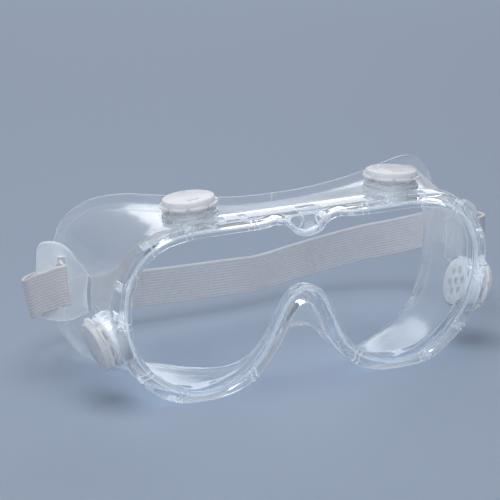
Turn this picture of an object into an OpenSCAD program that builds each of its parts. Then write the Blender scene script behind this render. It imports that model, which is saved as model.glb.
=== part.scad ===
// Indirect-vent splash goggles: soft clear skirt, flat clear lens, four snap-on
// vents and an elastic headband.  Millimetres, +Z up, front of the goggles at -Y.
// The shapes are drawn with x = 0 in the middle of the nose, y = 0 at the front of
// the rim and z = 0 on the table, then shifted so that the origin is the bottom
// centre of the whole object.

/* [Rim] */
// depth of the thick rim that holds the lens
rim_depth = 9; // [7:0.5:12]
// thickness of the rim lip in front of the lens
lip_front = 1.4; // [1:0.1:2]
// thickness of the clear lens sheet
lens_t = 2.5; // [1.5:0.1:3]
// how far the lens edge reaches into the rim
groove_depth = 2.3; // [1.5:0.1:3]
// length of each small pocket moulded in the top of the rim, along the rim
pocket_w = 3.4; // [2:0.2:4]
// depth of the pockets below the outside of the rim
pocket_h = 1.8; // [0.6:0.2:2]
// width of the recess in the top of the rim over the nose
neck_w = 9.4; // [6:0.2:12]

/* [Skirt] */
// thickness of the soft side wall
wall_t = 1.8; // [1.2:0.1:2.5]
// thickness of the face flange
flange_t = 1.3; // [1:0.1:2]
// smooth steps between two outline points
steps = 2; // [1:1:4]

/* [Vents] */
// radius of the round hole in each vent collar
bore_r = 10.05; // [8:0.05:12]
// radius of the collar moulded on the skirt
collar_r = 12.2; // [11:0.1:14]
// height of the collar above the skirt
collar_h = 3.6; // [2:0.1:5]
// radius of the foot of the vent seat, inside the skirt
foot_r = 10.8; // [10.4:0.1:11]
// radius of the brim of the vent cap
brim_r = 12.8; // [11:0.1:15]
// radius of the top disc of the vent cap
disc_r = 11.4; // [10:0.1:14]
// number of air windows around each vent seat
windows = 8; // [4:1:12]

/* [Lugs and strap] */
// thickness of the moulded strap lug
lug_t = 2.4; // [1.5:0.1:3]
// angle by which both lugs are swept back
lug_sweep = 30; // [20:1:40]
// how far the tip of the soft right lug is pulled down by the strap
lug_droop = 13; // [0:0.5:14]
// width of the elastic strap
strap_w = 18; // [12:0.5:25]
// thickness of the elastic strap
strap_t = 1.5; // [1:0.1:2.5]
// thread radius of the strap stitching
thread_r = 0.3; // [0.2:0.05:0.5]

/* [Hidden] */
// clearance between a part and the recess that holds it
gap = 0.05;
// how far a cutting shape reaches past the face that it cuts
over = 0.1;
// facets of the large and the small round shapes
fine = 64;
coarse = 24;
shift = [1.345, -46.175, -0.26];

clear_soft = [0.82, 0.87, 0.92, 0.45];
clear_hard = [0.85, 0.9, 0.95, 0.3];
milky = [0.9, 0.93, 0.95];
elastic = [0.68, 0.69, 0.72];
thread = [0.9, 0.9, 0.9];

// half outline, from the top middle round the right side to the nose:
// [x, z of the opening edge, x, z of the rim outside, x, y, z of the flange edge, lip]
half = [
    [0, 70.5, 0, 82.6, 0, 40, 77, 4],
    [5.5, 72, 5.5, 82.6, 5.5, 39.8, 77.1, 4],
    [10, 76.2, 10.2, 82.6, 10, 39.6, 77.3, 4],
    [15, 77.6, 15, 82.6, 15, 39.4, 77.6, 4],
    [21, 76.8, 21, 82.6, 21, 39.2, 78.2, 4],
    [40, 76.6, 40, 82.5, 40, 40.5, 80.4, 4],
    [55, 76.2, 55.8, 82, 56, 45, 82, 4.2],
    [66.5, 73.7, 69, 79.6, 69.5, 51.5, 81.8, 4.4],
    [75.8, 67, 80.6, 71.3, 82, 59.5, 77, 4.5],
    [80.8, 57, 86.9, 58.9, 91, 64, 67.5, 4.5],
    [82, 45.5, 88.4, 45.3, 95, 65, 54, 4.5],
    [80.5, 34, 86.9, 31.9, 96, 64, 38, 4.5],
    [76, 23.5, 81.9, 19.8, 94, 61.5, 20, 4.5],
    [69, 14.6, 73.8, 9.5, 86, 56, 7, 4.4],
    [59.5, 8, 62.3, 2.1, 73, 47, 1.9, 4.2],
    [48.5, 5, 48.6, 0.3, 57, 34, 0.6, 4],
    [37, 7, 34.8, 1.2, 39, 22.5, 0.8, 3.4],
    [27, 12, 23, 7, 25.5, 15.5, 5.2, 2.6],
    [19.7, 21, 13.6, 18.2, 14.2, 13.2, 14.8, 1.6],
    [14.8, 31.5, 8.6, 28.5, 10.2, 12.6, 20, 1.2],
    [9.5, 41.6, 4.6, 36, 6.4, 12.4, 22.8, 1],
    [5.3, 45.6, 2.6, 38.2, 3.3, 12.4, 23.7, 1],
    [0, 47.1, 0, 38.9, 0, 12.4, 24, 1]
];

last = len(half) - 1;
ring = concat(half, [for (i = [last - 1:-1:1]) flip(half[i])]);
m = len(ring);
count = m * steps;

function flip(p) = [-p[0], p[1], -p[2], p[3], -p[4], p[5], p[6], p[7]];
function knot(i) = let (p = ring[(i + m) % m]) [p[0], p[1]];
function knot_step(i) = sqrt(norm(knot(i + 1) - knot(i)));

// centripetal curve through the ring points: u runs from 0 to m
function on_ring(u) = let (
    i = floor(u),
    a = knot_step(i - 1), b = knot_step(i), c = knot_step(i + 1),
    s = (u - i) * b,
    p0 = ring[(i - 1 + m) % m], p1 = ring[i % m],
    p2 = ring[(i + 1) % m], p3 = ring[(i + 2) % m],
    a1 = p0 * (-s / a) + p1 * ((s + a) / a),
    a2 = p1 * ((b - s) / b) + p2 * (s / b),
    a3 = p2 * ((b + c - s) / c) + p3 * ((s - b) / c),
    b1 = a1 * ((b - s) / (a + b)) + a2 * ((s + a) / (a + b)),
    b2 = a2 * ((b + c - s) / (b + c)) + a3 * (s / (b + c)))
    b1 * ((b - s) / b) + b2 * (s / b);

pts = [for (k = [0:count - 1]) on_ring(k / steps)];
function at(k) = pts[(k + count) % count];
function unit(v) = v / norm(v);
function xz(v, y) = [v[0], y, v[1]];

// the three edges of the outline, as the columns that hold their x and z
opening = [0, 1];
outside = [2, 3];
flange = [4, 6];
function edge_at(k, edge) = [at(k)[edge[0]], at(k)[edge[1]]];
// outward normal of an edge, in the x-z plane
function normal(k, edge) = let (
    d = edge_at(k + 1, edge) - edge_at(k - 1, edge))
    unit([-d[1], d[0]]);

// where the side wall starts: this far inside the rim's outside, and behind its back
root_in = 2.4;
root_y = rim_depth + 1.5;
// back face of the lens groove, and the lip behind it
groove_y = lip_front + lens_t + 2 * gap;
back_lip_in = 0.5;
back_lip_t = 2.4;
// bevel round the front of the rim
bevel = 0.9;
// a wall at least this long has its front corner moved back a little
long_wall = 22;
corner_back = 0.6;
// the wall's two middle points, as shares of the way from its front to its back
wall_mid = [0.35, 0.7];
function along(a, b, t) = a * (1 - t) + b * t;

// one cross-section of the skirt, from the lens lip back to the face flange and
// forward again along the outside
function section(k) = let (
    p = at(k),
    ni = normal(k, opening), no = normal(k, outside), nb = normal(k, flange),
    in = edge_at(k, opening), out = edge_at(k, outside), fl = edge_at(k, flange),
    r0 = out - root_in * no,
    r1 = fl - p[7] * nb,
    y0 = root_y, y1 = p[5] - flange_t,
    dn = (r1 - r0) * nb, dy = y1 - y0,
    h = norm([dn, dy]),
    off = [nb[0] * dy / h, -dn / h, nb[1] * dy / h] * wall_t,
    w0 = xz(r0, y0), w1 = xz(r1, y1))
    [
        xz(in, 0),
        xz(in, lip_front),
        xz(in + groove_depth * ni, lip_front),
        xz(in + groove_depth * ni, groove_y),
        xz(in + back_lip_in * ni, groove_y),
        xz(in + back_lip_in * ni, groove_y + back_lip_t),
        w0 - off + [0, h < long_wall ? 0 : corner_back, 0],
        along(w0, w1, wall_mid[0]) - off,
        along(w0, w1, wall_mid[1]) - off,
        xz(r1, p[5]) - [off[0], 0, off[2]] - [0, min(0, off[1]), 0],
        xz(fl, p[5]),
        xz(fl, p[5] - flange_t),
        w1,
        along(w0, w1, wall_mid[1]),
        along(w0, w1, wall_mid[0]),
        w0,
        xz(out, rim_depth),
        xz(out, bevel),
        xz(out - bevel * no, 0)
    ];

// the whole skirt and rim: a closed loft through the cross-sections
module skirt() {
    corners = len(section(0));
    all = [for (k = [0:count - 1]) each section(k)];
    faces = [for (k = [0:count - 1]) for (j = [0:corners - 1]) let (
        row = k * corners, next_row = (k + 1) % count * corners, next = (j + 1) % corners,
        a = row + j, b = row + next, c = next_row + next, d = next_row + j)
        each [[a, c, b], [a, d, c]]];
    polyhedron(points = all, faces = faces, convexity = 12);
}

// small open pockets in the outside of the rim, placed by outline point, and one wider
// recess over the nose: all between the front face and the root of the skirt
pocket_at = [4.5, 5, 6, 7.5, 9, 10, 12.5, 14];
pocket_y = 2.2;
pocket_l = 4;
neck_y = 1.2;
neck_h = 2;
// how far the cutting boxes stand out of the rim
pocket_over = 2;
module rim_pockets() {
    for (side = [0, 1])
        mirror([side, 0, 0])
            for (u = pocket_at)
                let (k = round(u * steps), n = normal(k, outside))
                    translate(xz(edge_at(k, outside), pocket_y))
                        rotate([0, atan2(n[0], n[1]), 0])
                            translate([-pocket_w / 2, 0, -pocket_h])
                                cube([pocket_w, pocket_l, pocket_h + pocket_over]);
    translate([-neck_w / 2, neck_y, half[0][3] - neck_h])
        cube([neck_w, pocket_y + pocket_l - neck_y, neck_h + pocket_over]);
}

// right-hand vents: the point where each axis meets the skirt, and how it leans
top_vent = [48, 18, 79];
top_vent_back = 7;
top_vent_out = 4;
side_vent = [84.6, 15.4, 30.5];
side_vent_forward = 4;
side_vent_down = 109;

module place_top(side) {
    translate([side * top_vent[0], top_vent[1], top_vent[2]])
        rotate([-top_vent_back, side * top_vent_out, 0])
            children();
}

module place_side(side) {
    translate([side * side_vent[0], side_vent[1], side_vent[2]])
        rotate([0, 0, -side * side_vent_forward])
            rotate([0, side * side_vent_down, 0])
                children();
}

module place_vents() {
    for (side = [-1, 1]) {
        place_top(side) children();
        place_side(side) children();
    }
}

// strap lug: outline and slot as [distance out along the plate, height]
lug_root = [88, 35];
lug_outline = [
    [-1, 36], [-1, 51], [1.8, 55.5], [8.3, 62.9], [12.2, 66.2], [17, 67],
    [21.5, 66.2], [23, 63.5], [23.6, 50], [24, 34.5], [22.5, 31.5], [15, 30.2], [8, 31]
];
lug_slot = [[10.4, 36], [10.4, 60.5], [14.4, 60.5], [14.4, 36]];
// the pulled-down lug bends more and more towards its tip, which is lug_reach out
lug_reach = 22.4;
lug_bend = 1.2;
function sag(side, w) = side > 0 ? lug_droop * pow(max(w, 0) / lug_reach, lug_bend) : 0;
function sagged(side, shape) = [for (p = shape) [p[0], p[1] - sag(side, p[0])]];

module lug(side) {
    mirror([side < 0 ? 1 : 0, 0, 0])
        translate([lug_root[0], lug_root[1], 0])
            rotate([0, 0, lug_sweep])
                translate([0, lug_t / 2, 0])
                    rotate([90, 0, 0])
                        linear_extrude(height = lug_t)
                            difference() {
                                polygon(sagged(side, lug_outline));
                                polygon(sagged(side, lug_slot));
                            }
}

// vent seat, heights along the vent's axis above the point where it meets the skirt
foot_t = 0.8;
foot_top = -2.4;
foot_z = foot_top - foot_t;
seat_floor = -2.2;
barrel_r = 10;
barrel_in = 8.4;
barrel_top = 8.3;
// ledge that rests on the collar
ledge_r = 11.5;
ledge_top = 4.3;
// snap bead near the top of the barrel
snap_out = 0.3;
snap_z = [7.5, 7.7];
// air windows in the barrel
window = [8, 4.8, 1.7];
window_in = 6;
window_z = 4.6;
// round holes of the grille: a ring of them and one in the middle
grille_r = 1.9;
grille_ring = 5.2;
grille_holes = 6;
grille_z = -4;
grille_h = 3;

// how deep the collar is rooted in the skirt
collar_root = 1;
// ring round the foot inside the skirt: how far it stands out and how high it is
boss_w = 0.5;
boss_h = 2;
// room round the foot, and how far the bore runs past the collar at each end
foot_room = 0.7;
bore_reach = 6;

module frame() {
    color(clear_soft)
        difference() {
            union() {
                skirt();
                place_vents() {
                    translate([0, 0, -collar_root])
                        cylinder(h = collar_h + collar_root, r = collar_r, $fn = fine);
                    translate([0, 0, foot_top - boss_w])
                        cylinder(h = boss_h, r = foot_r + boss_w, $fn = fine);
                }
                lug(-1);
                lug(1);
            }
            rim_pockets();
            place_vents() {
                translate([0, 0, -bore_reach])
                    cylinder(h = collar_h + 2 * bore_reach, r = bore_r, $fn = fine);
                translate([0, 0, foot_z - over])
                    cylinder(h = foot_t + over, r = foot_r + foot_room, $fn = fine);
            }
        }
}

module lens() {
    edge = [for (k = [0:count - 1])
        edge_at(k, opening) + (groove_depth - gap) * normal(k, opening)];
    color(clear_hard)
        translate([0, lip_front + gap + lens_t, 0])
            rotate([90, 0, 0])
                linear_extrude(height = lens_t)
                    polygon(edge);
}

module grille_hole() {
    translate([0, 0, grille_z])
        cylinder(h = grille_h, r = grille_r, $fn = coarse);
}

// plug that sits in the collar: grille inside, air windows above the collar
module vent_seat() {
    color(milky)
        difference() {
            rotate_extrude($fn = fine)
                polygon([
                    [0, foot_z], [foot_r, foot_z], [foot_r, foot_top - gap],
                    [barrel_r, foot_top - gap], [barrel_r, collar_h + gap],
                    [ledge_r, collar_h + gap], [ledge_r, ledge_top], [barrel_r, ledge_top],
                    [barrel_r, snap_z[0]], [barrel_r + snap_out, snap_z[1]],
                    [barrel_r, barrel_top], [barrel_in, barrel_top],
                    [barrel_in, seat_floor], [0, seat_floor]
                ]);
            for (i = [0:windows - 1])
                rotate([0, 0, i * 360 / windows])
                    translate([window_in, -window[1] / 2, window_z])
                        cube(window);
            for (i = [0:grille_holes - 1])
                rotate([0, 0, i * 360 / grille_holes])
                    translate([grille_ring, 0, 0])
                        grille_hole();
            grille_hole();
        }
}

// vent cap: running clearance on the barrel, room for the snap bead, and heights
cap_in = barrel_r + 0.06;
snap_room = 10.4;
snap_room_z = [7.3, 7.6];
brim_z = 6.4;
brim_top = 7.4;
brim_round = 0.3;
cap_under = 8.5;
cap_top = 9.8;
// rounded shoulder of the disc, as [in from the edge, height] steps
shoulder = [[0, 9.2], [0.2, 9.6], [0.7, cap_top]];
// low grip bar on the top of the cap
grip = [5.2, 0.9, 0.4];
grip_y = -6.4;
grip_z = 9.7;

// brimmed cap that snaps over the seat and can be turned on it
module vent_cap() {
    color(milky)
        union() {
            rotate_extrude($fn = fine)
                polygon(concat(
                    [[cap_in, brim_z], [brim_r - brim_round, brim_z],
                     [brim_r, brim_z + brim_round], [brim_r, brim_top - brim_round],
                     [brim_r - brim_round, brim_top], [disc_r, brim_top]],
                    [for (p = shoulder) [disc_r - p[0], p[1]]],
                    [[0, cap_top], [0, cap_under], [snap_room, cap_under],
                     [snap_room, snap_room_z[1]], [cap_in, snap_room_z[0]]]));
            translate([-grip[0] / 2, grip_y, grip_z])
                cube(grip);
        }
}

// headband: the loop round each lug bar runs from the sewn tail behind the bar, round
// its end, forward through the slot, as [out along the lug, behind it, share of the fall]
loop_shape = [
    [17.2, 4.9, 0.55], [19, 4.2, 0.65], [22.5, 4, 0.8], [25.2, 3.6, 0.92], [26.9, 2.1, 1],
    [27.4, 0, 1], [26.9, -2.2, 0.98], [25.2, -3.9, 0.85], [22.5, -4.3, 0.62],
    [19, -4.5, 0.44], [15.6, -4.9, 0.28], [12.6, -5.3, 0.08], [10.3, -5.2, 0],
    [8.9, -4.4, 0], [9.5, -3.4, 0], [10.9, -2.5, 0], [12, -1.4, 0], [12.5, 0, 0],
    [13.2, 1.6, 0.02]
];
// [height in the slot, height at the fold, lean in front of the slot, lean at the fold, tightness]
left_loop = [49.1, 40.2, 7, 12.5, 0];
right_loop = [48.2 - 0.5 * lug_droop, 47.1 - 0.5 * lug_droop, 0, 0, 1.2];

// the lean grows from the slot to the fold, behind the bar it fades out towards the tail,
// and in the slot it starts in front of the bar: [start, end] along or in front of the lug
lean_span = [9, 27];
lean_tail = [14, 22];
lean_slot = [1.5, 4];
behind_bar = 2.5;
// a tight loop is shorter from here to the fold
tight_span = [14, 27.4];

function share(v, span) = max(0, min(1, (v - span[0]) / (span[1] - span[0])));
function lean_share(w, d) =
    d > behind_bar ? share(w, lean_tail) : w > lean_tail[0] ? 1 : share(-d, lean_slot);
function on_lug(side, w, d, z, lean) = [
    side * (lug_root[0] + w * cos(lug_sweep) - d * sin(lug_sweep)),
    lug_root[1] + w * sin(lug_sweep) + d * cos(lug_sweep), z, lean];
function strap_loop(side, c) = [for (p = loop_shape) let (
    lean = along(c[2], c[3], share(p[0], lean_span)) * lean_share(p[0], p[1]))
    on_lug(side, p[0] - c[4] * share(p[0], tight_span), p[1], along(c[0], c[1], p[2]), lean)];

// x of the main run and of the tail sewn to it
run_x = 98.74;
tail_x = 100.8;
// points of the centre line: [x, y, z, outward lean of the upper edge]
right_end = concat(
    [[100.6, 66, 40, 0], [tail_x, 60, 42, 0], [tail_x, 54, 42.4, 0]],
    strap_loop(1, right_loop),
    [[run_x, 46, 41.4, 0], [run_x, 52, 41.6, 0]]);
left_end = concat(
    [[-run_x, 52, 43.2, 0], [-run_x, 46, 45.6, 3]],
    [for (i = [len(loop_shape) - 1:-1:0]) strap_loop(-1, left_loop)[i]],
    [[-tail_x, 54, 42.8, 0], [-tail_x, 60, 40, 0], [-100.6, 66, 36.4, 0]]);
back_run = [
    [run_x, 60, 41.2, 0], [98.5, 67, 38, 0], [96.2, 73.2, 34.2, 0], [90, 79, 30.8, 0],
    [80, 84.5, 27.6, 0], [72, 87.6, 25.9, 0], [56, 90, 23.1, 0], [40, 90.5, 20.7, 0],
    [30, 91.6, 18.6, 0], [20, 91, 17.2, 0], [12, 89.6, 17.2, 0], [5, 88.8, 17.8, 0],
    [-8, 88.4, 18.2, 0], [-25, 88.4, 18.5, 0], [-45, 88, 19.2, 0], [-62, 85.5, 20.9, 0],
    [-76, 81.5, 22.4, 0], [-88, 77, 25.2, 0], [-95.5, 72, 30, 0], [-98.4, 66.5, 35.3, 0],
    [-run_x, 60, 39.6, 0]
];
path = concat(right_end, back_run, left_end);
path_n = len(path);

function path_dir(i) = let (
    d = path[min(i + 1, path_n - 1)] - path[max(i - 1, 0)])
    unit([d[0], d[1]]);
function path_up(p) = [
    sign(p[0]) * cos(lug_sweep) * sin(p[3]), sin(lug_sweep) * sin(p[3]), cos(p[3])];

// the sewn tails: middle of the stitching on each side, and the spacing of the threads
sew_y = 62;
sew_x = 99.75;
sew_reach = 2.4;
sew_gap = 1.5;
sew_rows = 6;
// play of a thread in its hole, and the length of the drill that makes it
thread_gap = 0.02;
drill_l = 8;
function sew_z(side) = side > 0 ? 40.8 : 38.5;

module strap() {
    skin = [for (i = [0:path_n - 1]) let (
        p = [path[i][0], path[i][1], path[i][2]], d = path_dir(i),
        s = [-d[1], d[0], 0] * strap_t / 2, w = path_up(path[i]) * strap_w / 2)
        each [p + s - w, p + s + w, p - s + w, p - s - w]];
    sides = [for (i = [0:path_n - 2]) for (j = [0:3]) let (
        a = i * 4 + j, b = i * 4 + (j + 1) % 4)
        each [[a, b + 4, b], [a, a + 4, b + 4]]];
    e = (path_n - 1) * 4;
    ends = [[0, 2, 3], [0, 1, 2], [e, e + 2, e + 1], [e, e + 3, e + 2]];
    color(elastic)
        difference() {
            polyhedron(points = skin, faces = concat(sides, ends), convexity = 10);
            for (side = [-1, 1])
                for (k = [-1:1])
                    for (y = [-sew_gap, sew_gap])
                        translate([side * (sew_x - drill_l / 2), sew_y + y, sew_z(side) + sew_rows * k])
                            rotate([0, side * 90, 0])
                                cylinder(h = drill_l, r = thread_r + thread_gap, $fn = coarse);
        }
}

// three sewn stitches that hold the tail of the strap to the main run
module stitching(side) {
    color(thread)
        for (k = [-1:1])
            translate([side * sew_x, sew_y, sew_z(side) + sew_rows * k]) {
                for (y = [-sew_gap, sew_gap])
                    translate([-sew_reach, y, 0])
                        rotate([0, 90, 0])
                            cylinder(h = 2 * sew_reach, r = thread_r, $fn = coarse);
                for (x = [-sew_reach, sew_reach])
                    translate([x, -sew_gap - thread_r, 0])
                        rotate([-90, 0, 0])
                            cylinder(h = 2 * (sew_gap + thread_r), r = thread_r, $fn = coarse);
            }
}

translate(shift) frame();
translate(shift) lens();
translate(shift) place_top(-1) vent_seat();  // vent_seat_top_left
translate(shift) place_top(1) vent_seat();  // vent_seat_top_right
translate(shift) place_side(-1) vent_seat();  // vent_seat_side_left
translate(shift) place_side(1) vent_seat();  // vent_seat_side_right
translate(shift) place_top(-1) vent_cap();  // vent_cap_top_left
translate(shift) place_top(1) vent_cap();  // vent_cap_top_right
translate(shift) place_side(-1) vent_cap();  // vent_cap_side_left
translate(shift) place_side(1) vent_cap();  // vent_cap_side_right
translate(shift) strap();
translate(shift) stitching(-1);  // stitching_left
translate(shift) stitching(1);  // stitching_right
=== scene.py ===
import math

import bmesh
import bpy
import numpy as np
from mathutils import Matrix, Vector


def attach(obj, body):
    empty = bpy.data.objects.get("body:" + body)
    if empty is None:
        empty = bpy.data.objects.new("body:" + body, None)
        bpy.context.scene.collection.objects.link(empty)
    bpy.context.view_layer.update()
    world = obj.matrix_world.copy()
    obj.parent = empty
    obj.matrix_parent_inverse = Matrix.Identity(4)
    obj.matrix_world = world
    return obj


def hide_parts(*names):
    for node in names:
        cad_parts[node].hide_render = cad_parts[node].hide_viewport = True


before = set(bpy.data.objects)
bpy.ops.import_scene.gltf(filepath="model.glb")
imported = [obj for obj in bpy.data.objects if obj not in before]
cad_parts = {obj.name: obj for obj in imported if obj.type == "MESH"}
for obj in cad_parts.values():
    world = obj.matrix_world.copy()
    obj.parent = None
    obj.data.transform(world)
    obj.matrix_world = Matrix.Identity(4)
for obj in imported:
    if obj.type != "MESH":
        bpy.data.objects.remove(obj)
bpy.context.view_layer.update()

MM = 0.001

# ---------------------------------------------------------------- dimensions (mm)
SHIFT = Vector((1.345, -46.175, -0.26))
RIM_DEPTH, LIP_FRONT, LENS_T, GROOVE = 9.0, 1.4, 2.5, 2.3
WALL_T, FLANGE_T, GAP = 1.8, 1.3, 0.05
STRAP_W, STRAP_T, RIBS = 18.0, 1.5, 13
POCKET_W, POCKET_L, POCKET_H, POCKET_Y = 3.4, 4.0, 1.8, 2.2
POCKET_AT = (4.5, 5, 6, 7.5, 9, 10, 12.5, 14)
NECK_W, NECK_H, NECK_Y = 9.4, 2.0, 1.2
# how far a pocket's cutter stands out of the rim, and the foot recess reaches under the foot
OVER, UNDER = 2.0, 0.1

# vents: radii, and heights along the vent's axis above the point where it meets the skirt
BORE_R, BORE_Z = 10.05, (-6, 9)
RING_IN = 9                     # inside of the rings that are added before the bore is cut
COLLAR_R, COLLAR_H, COLLAR_Z, BOSS_Z = 12.2, 3.6, -1, -0.9
FOOT_R, FOOT_T, FOOT_TOP, FOOT_ROOM, BOSS = 10.8, 0.8, -2.4, 0.7, 0.5
FOOT_Z = FOOT_TOP - FOOT_T
BARREL_R, BARREL_IN, BARREL_TOP, SEAT_FLOOR = 10, 8.4, 8.3, -2.2
LEDGE_R, LEDGE_TOP = 11.5, 4.3
SNAP_R, SNAP_Z = 10.3, (7.5, 7.7)
WINDOWS, WINDOW, WINDOW_AT = 8, (8, 4.8, 1.7), (10, 0, 5.45)
GRILLE_HOLES, GRILLE_R, GRILLE_RING, GRILLE_Z = 6, 1.9, 5.2, (-4, -1)
BRIM_R, BRIM_Z, BRIM_TOP, DISC_R = 12.8, 6.4, 7.4, 11.4
CAP_IN, CAP_UNDER, CAP_TOP = 10.06, 8.5, 9.8
SNAP_ROOM, SNAP_ROOM_Z = 10.4, (7.3, 7.6)
NOTCHES, NOTCH, NOTCH_AT = 8, (3, 1.9, 2), (DISC_R + 1.55, 0, 6.9)
GRIP, GRIP_AT = (5.2, 0.9, 0.6), (0, -5.95, 9.8)

# right-hand vents: where the axis meets the skirt, and its lean in degrees
TOP_VENT, TOP_LEAN_OUT, TOP_LEAN_BACK = (48, 18, 79), 4, 7
SIDE_VENT, SIDE_TURN_FORWARD, SIDE_LEAN_DOWN = (84.6, 15.4, 30.5), 4, 109

# strap lug outline: distance out along the plate, height, corner radius. Slot: the first two.
LUG_T, LUG_ROOT, LUG_SWEEP = 2.4, (88.0, 35.0), math.radians(30)
LUG_REACH, LUG_DROOP = 22.4, 13.0
LUG_OUTLINE = [(-1, 36, 0), (-1, 51, 0), (1.8, 55.5, 2), (8.3, 62.9, 2), (12.2, 66.2, 2), (17, 67, 2),
               (21.5, 66.2, 2), (23, 63.5, 2), (23.6, 50, 4), (24, 34.5, 2), (22.5, 31.5, 2),
               (15, 30.2, 2), (8, 31, 2)]
LUG_SLOT, LUG_SLOT_ROUND = [(10.4, 36), (10.4, 60.5), (14.4, 60.5), (14.4, 36)], 0.9

# half outline: opening edge (x, z), rim outside (x, z), flange edge (x, y, z), lip
HALF = [
    (0, 70.5, 0, 82.6, 0, 40, 77, 4),
    (5.5, 72, 5.5, 82.6, 5.5, 39.8, 77.1, 4),
    (10, 76.2, 10.2, 82.6, 10, 39.6, 77.3, 4),
    (15, 77.6, 15, 82.6, 15, 39.4, 77.6, 4),
    (21, 76.8, 21, 82.6, 21, 39.2, 78.2, 4),
    (40, 76.6, 40, 82.5, 40, 40.5, 80.4, 4),
    (55, 76.2, 55.8, 82, 56, 45, 82, 4.2),
    (66.5, 73.7, 69, 79.6, 69.5, 51.5, 81.8, 4.4),
    (75.8, 67, 80.6, 71.3, 82, 59.5, 77, 4.5),
    (80.8, 57, 86.9, 58.9, 91, 64, 67.5, 4.5),
    (82, 45.5, 88.4, 45.3, 95, 65, 54, 4.5),
    (80.5, 34, 86.9, 31.9, 96, 64, 38, 4.5),
    (76, 23.5, 81.9, 19.8, 94, 61.5, 20, 4.5),
    (69, 14.6, 73.8, 9.5, 86, 56, 7, 4.4),
    (59.5, 8, 62.3, 2.1, 73, 47, 1.9, 4.2),
    (48.5, 5, 48.6, 0.3, 57, 34, 0.6, 4),
    (37, 7, 34.8, 1.2, 39, 22.5, 0.8, 3.4),
    (27, 12, 23, 7, 25.5, 15.5, 5.2, 2.6),
    (19.7, 21, 13.6, 18.2, 14.2, 13.2, 14.8, 1.6),
    (14.8, 31.5, 8.6, 28.5, 10.2, 12.6, 20, 1.2),
    (9.5, 41.6, 4.6, 36, 6.4, 12.4, 22.8, 1),
    (5.3, 45.6, 2.6, 38.2, 3.3, 12.4, 23.7, 1),
    (0, 47.1, 0, 38.9, 0, 12.4, 24, 1),
]


# ---------------------------------------------------------------- small helpers
def ring_points(steps):
    """Smooth closed ring of the outline values, `steps` samples between two design points."""
    sign = np.array([-1, 1, -1, 1, -1, 1, 1, 1.0])
    half = np.array(HALF, float)
    ring = np.vstack([half, half[-2:0:-1] * sign])
    m = len(ring)
    key = ring[:, :2]
    out = []
    for i in range(m):
        p0, p1, p2, p3 = (ring[(i + j - 1) % m] for j in range(4))
        a, b, c = (np.linalg.norm(key[(i + j) % m] - key[(i + j - 1) % m]) ** 0.5 for j in range(3))
        for s in np.arange(steps) / steps * b:
            a1 = p0 * (-s / a) + p1 * ((s + a) / a)
            a2 = p1 * ((b - s) / b) + p2 * (s / b)
            a3 = p2 * ((b + c - s) / c) + p3 * ((s - b) / c)
            b1 = a1 * ((b - s) / (a + b)) + a2 * ((s + a) / (a + b))
            b2 = a2 * ((b + c - s) / (b + c)) + a3 * (s / (b + c))
            out.append(b1 * ((b - s) / b) + b2 * (s / b))
    return np.array(out)


def normals(x, z):
    """Outward unit normals of a closed outline drawn clockwise from its top."""
    dx = np.roll(x, -1) - np.roll(x, 1)
    dz = np.roll(z, -1) - np.roll(z, 1)
    n = np.stack([-dz, dx], 1)
    return n / np.linalg.norm(n, axis=1)[:, None]


def mesh_object(name, verts, faces, smooth=40):
    """A smooth-shaded object from points in metres, with sharp edges above `smooth` degrees."""
    me = bpy.data.meshes.new(name)
    me.from_pydata([tuple(v) for v in verts], [], [tuple(f) for f in faces])
    me.validate()
    bm = bmesh.new()
    bm.from_mesh(me)
    bmesh.ops.recalc_face_normals(bm, faces=bm.faces)
    bm.to_mesh(me)
    bm.free()
    ob = bpy.data.objects.new(name, me)
    bpy.context.scene.collection.objects.link(ob)
    shade(ob, smooth)
    return ob


def shade(ob, angle):
    """Smooth shading, broken at edges that turn by more than `angle` degrees."""
    me = ob.data
    for p in me.polygons:
        p.use_smooth = True
    bm = bmesh.new()
    bm.from_mesh(me)
    for e in bm.edges:
        if len(e.link_faces) == 2 and e.calc_face_angle(0) > math.radians(angle):
            e.smooth = False
    bm.to_mesh(me)
    bm.free()


def to_row(points):
    """Design millimetres to row-frame metres."""
    return (np.asarray(points, float) + np.array(SHIFT)) * MM


def linked(name, bm):
    """A new object in the scene from a bmesh, which is freed."""
    me = bpy.data.meshes.new(name)
    bm.to_mesh(me)
    bm.free()
    ob = bpy.data.objects.new(name, me)
    bpy.context.scene.collection.objects.link(ob)
    return ob


def joined(tools):
    """One object from several tools that don't touch each other."""
    bpy.context.view_layer.update()
    bm = bmesh.new()
    for tool in tools:
        tool.data.transform(tool.matrix_world)
        bm.from_mesh(tool.data)
        bpy.data.objects.remove(tool)
    return linked("tools", bm)


def boolean(ob, tool, kind):
    """Exact boolean of an object with a tool, which is used up."""
    mod = ob.modifiers.new("boolean", "BOOLEAN")
    mod.operation, mod.object, mod.solver = kind, tool, "EXACT"
    dg = bpy.context.evaluated_depsgraph_get()
    me = bpy.data.meshes.new_from_object(ob.evaluated_get(dg))
    ob.modifiers.clear()
    old, ob.data = ob.data, me
    bpy.data.meshes.remove(old)
    me.name = ob.name
    bpy.data.objects.remove(tool)


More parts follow.
